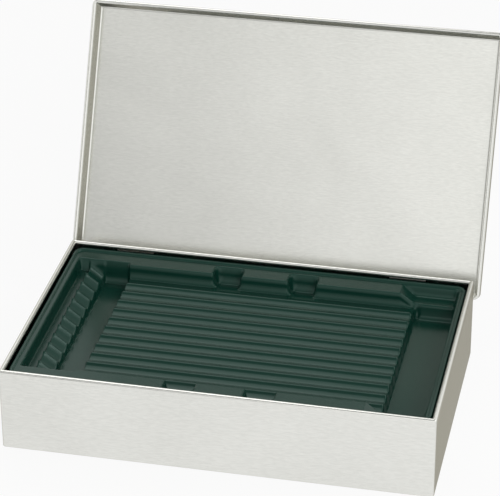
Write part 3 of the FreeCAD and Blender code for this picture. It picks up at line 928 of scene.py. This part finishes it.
@dataclass
class Studio:
    """Floor, lamps, world and camera, in metres and degrees.

    The ceiling and the screen each say where the walls' white starts to fade and where it has gone: the
    ceiling by how far up a direction points, the screen by how near it points to screen_toward.
    """

    azimuth: float = 12.102
    elevation: float = 29.447
    roll: float = -0.2015
    place: tuple[float, float, float] = (0.213322, -0.975111, 0.647348)
    focal: float = 178.152
    shift: tuple[float, float] = (-0.0035, -0.0038)
    floor_size: float = 6.0
    floor_white: float = 0.9
    world_strength: float = 0.36
    ceiling: tuple[float, float] = (0.55, 0.85)
    screen_toward: tuple[float, float, float] = (-0.50, -0.862, 0.085)
    screen: tuple[float, float] = (0.90, 0.945)

    def add_camera(self) -> None:
        """Place the camera at the front right, looking down at the open tin."""
        data = bpy.data.cameras.new("view")
        data.sensor_width = 36.0
        data.lens = self.focal
        data.shift_x, data.shift_y = self.shift
        data.clip_start, data.clip_end = 0.05, 20.0
        camera = bpy.data.objects.new("view", data)
        turn = (Matrix.Rotation(math.radians(self.azimuth), 4, "Z")
                @ Matrix.Rotation(math.radians(90 - self.elevation), 4, "X")
                @ Matrix.Rotation(math.radians(self.roll), 4, "Z"))
        camera.matrix_world = Matrix.Translation(self.place) @ turn
        bpy.context.scene.collection.objects.link(camera)
        bpy.context.scene.camera = camera

    def add_lamp(self, name: str, place: tuple[float, float, float], aim: tuple[float, float, float],
                 size: tuple[float, float], power: float, mirrored: bool = True) -> None:
        """Add one soft box.

        Args:
            name: Name of the lamp.
            place: Where it hangs.
            aim: The point that it faces.
            size: Its width and height.
            power: Power in watts.
            mirrored: Whether glossy surfaces show it.
        """
        data = bpy.data.lights.new(name, "AREA")
        data.shape = "RECTANGLE"
        data.size, data.size_y = size
        data.energy = power
        lamp = bpy.data.objects.new(name, data)
        direction = Vector(aim) - Vector(place)
        lamp.matrix_world = Matrix.Translation(place) @ direction.to_track_quat("-Z", "Y").to_matrix().to_4x4()
        lamp.visible_glossy = mirrored
        bpy.context.scene.collection.objects.link(lamp)

    def add_floor(self) -> None:
        """Lay the pale floor: white to the eye and in gloss, a plain matt sheet to the light."""
        mesh = bmesh.new()
        bmesh.ops.create_grid(mesh, x_segments=1, y_segments=1, size=self.floor_size / 2)
        data = bpy.data.meshes.new("floor")
        mesh.to_mesh(data)
        mesh.free()
        floor = bpy.data.objects.new("floor", data)
        bpy.context.scene.collection.objects.link(floor)
        material = bpy.data.materials.new("floor_paper")
        material.use_nodes = True
        tree = material.node_tree
        shader = tree.nodes["Principled BSDF"]
        shader.inputs["Base Color"].default_value = (0.82, 0.82, 0.81, 1.0)
        shader.inputs["Roughness"].default_value = 0.9
        shader.inputs["Specular IOR Level"].default_value = 0.1
        glow = tree.nodes.new("ShaderNodeEmission")
        glow.inputs["Strength"].default_value = 1.0
        share = math_node(tree, "MULTIPLY", seen_rays(tree), self.floor_white)
        mix = tree.nodes.new("ShaderNodeMixShader")
        tree.links.new(share, mix.inputs[0])
        tree.links.new(shader.outputs[0], mix.inputs[1])
        tree.links.new(glow.outputs[0], mix.inputs[2])
        tree.links.new(mix.outputs[0], tree.nodes["Material Output"].inputs["Surface"])
        data.materials.append(material)

    def room_share(self, tree: bpy.types.NodeTree) -> bpy.types.NodeSocket:
        """How white the room is by direction: white walls, a grey ceiling and one grey screen in front.

        Args:
            tree: Node tree of the world.

        Returns:
            1 toward the walls, falling to 0 toward the ceiling and the screen.
        """
        place = tree.nodes.new("ShaderNodeTexCoord").outputs["Generated"]
        split = tree.nodes.new("ShaderNodeSeparateXYZ")
        tree.links.new(place, split.inputs[0])
        toward = tree.nodes.new("ShaderNodeVectorMath")
        toward.operation = "DOT_PRODUCT"
        tree.links.new(place, toward.inputs[0])
        toward.inputs[1].default_value = self.screen_toward
        shares = []
        for source, (start, stop) in ((split.outputs["Z"], self.ceiling), (toward.outputs["Value"], self.screen)):
            fade = tree.nodes.new("ShaderNodeMapRange")
            fade.interpolation_type = "SMOOTHSTEP"
            for slot, value in ((1, start), (2, stop), (3, 1.0), (4, 0.0)):
                fade.inputs[slot].default_value = value
            tree.links.new(source, fade.inputs["Value"])
            shares.append(fade.outputs[0])
        return math_node(tree, "MULTIPLY", *shares)

    def add_world(self) -> None:
        """Give the room an even grey light, with the walls shown white."""
        world = bpy.data.worlds.new("room")
        bpy.context.scene.world = world
        world.use_nodes = True
        tree = world.node_tree
        back = tree.nodes["Background"]
        back.inputs["Color"].default_value = (1.0, 1.0, 0.99, 1.0)
        shown = math_node(tree, "MULTIPLY", seen_rays(tree), self.room_share(tree))
        lift = math_node(tree, "MULTIPLY", shown, 1.0 - self.world_strength)
        tree.links.new(math_node(tree, "ADD", lift, self.world_strength), back.inputs["Strength"])

    def build(self) -> None:
        """Set up the whole studio."""
        bpy.context.scene.view_settings.view_transform = "Standard"
        self.add_camera()
        self.add_floor()
        self.add_world()
        self.add_lamp("key", (0.72, -1.28, 0.85), (0.0, -0.15, 0.0), (1.2, 1.0), 10.0, False)
        self.add_lamp("overhead", (-0.36, 0.50, 1.30), (-0.36, 0.0, 0.03), (0.8, 1.3), 5.0)
        self.add_lamp("front", (0.50, -1.40, 0.90), (0.0, 0.0, 0.08), (1.4, 0.8), 0.8)
        self.add_lamp("side", (1.05, -0.05, 1.15), (0.0, 0.0, 0.04), (0.4, 0.4), 2.0)
        self.add_lamp("edge", (0.95, 0.62, 0.62), (0.0, 0.0, 0.04), (0.3, 0.5), 0.9)


def dress_hinges(material: bpy.types.Material) -> None:
    """Give the hinge leaves and pins their steel finish."""
    for side in ("left", "right"):
        for node in ("base_hinge_leaf_", "lid_hinge_leaf_", "hinge_pin_"):
            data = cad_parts[node + side].data
            data.materials.clear()
            data.materials.append(material)
            LOG.info("dressed %s%s", node, side)


def main() -> None:
    """Build the tin piece by piece."""
    logging.basicConfig(level=logging.INFO, format="%(name)s: %(message)s")
    grain = streak_group()
    tinplate = TINPLATE.material(grain)
    plastic = TRAY_PLASTIC.material(grain)
    Studio().build()
    TinBase().build(tinplate)
    TinLid().build(tinplate)
    UpperTray().build(plastic)
    LowerTray().build(plastic)
    dress_hinges(HINGE_STEEL.material(grain))


if __name__ == "__main__":
    main()
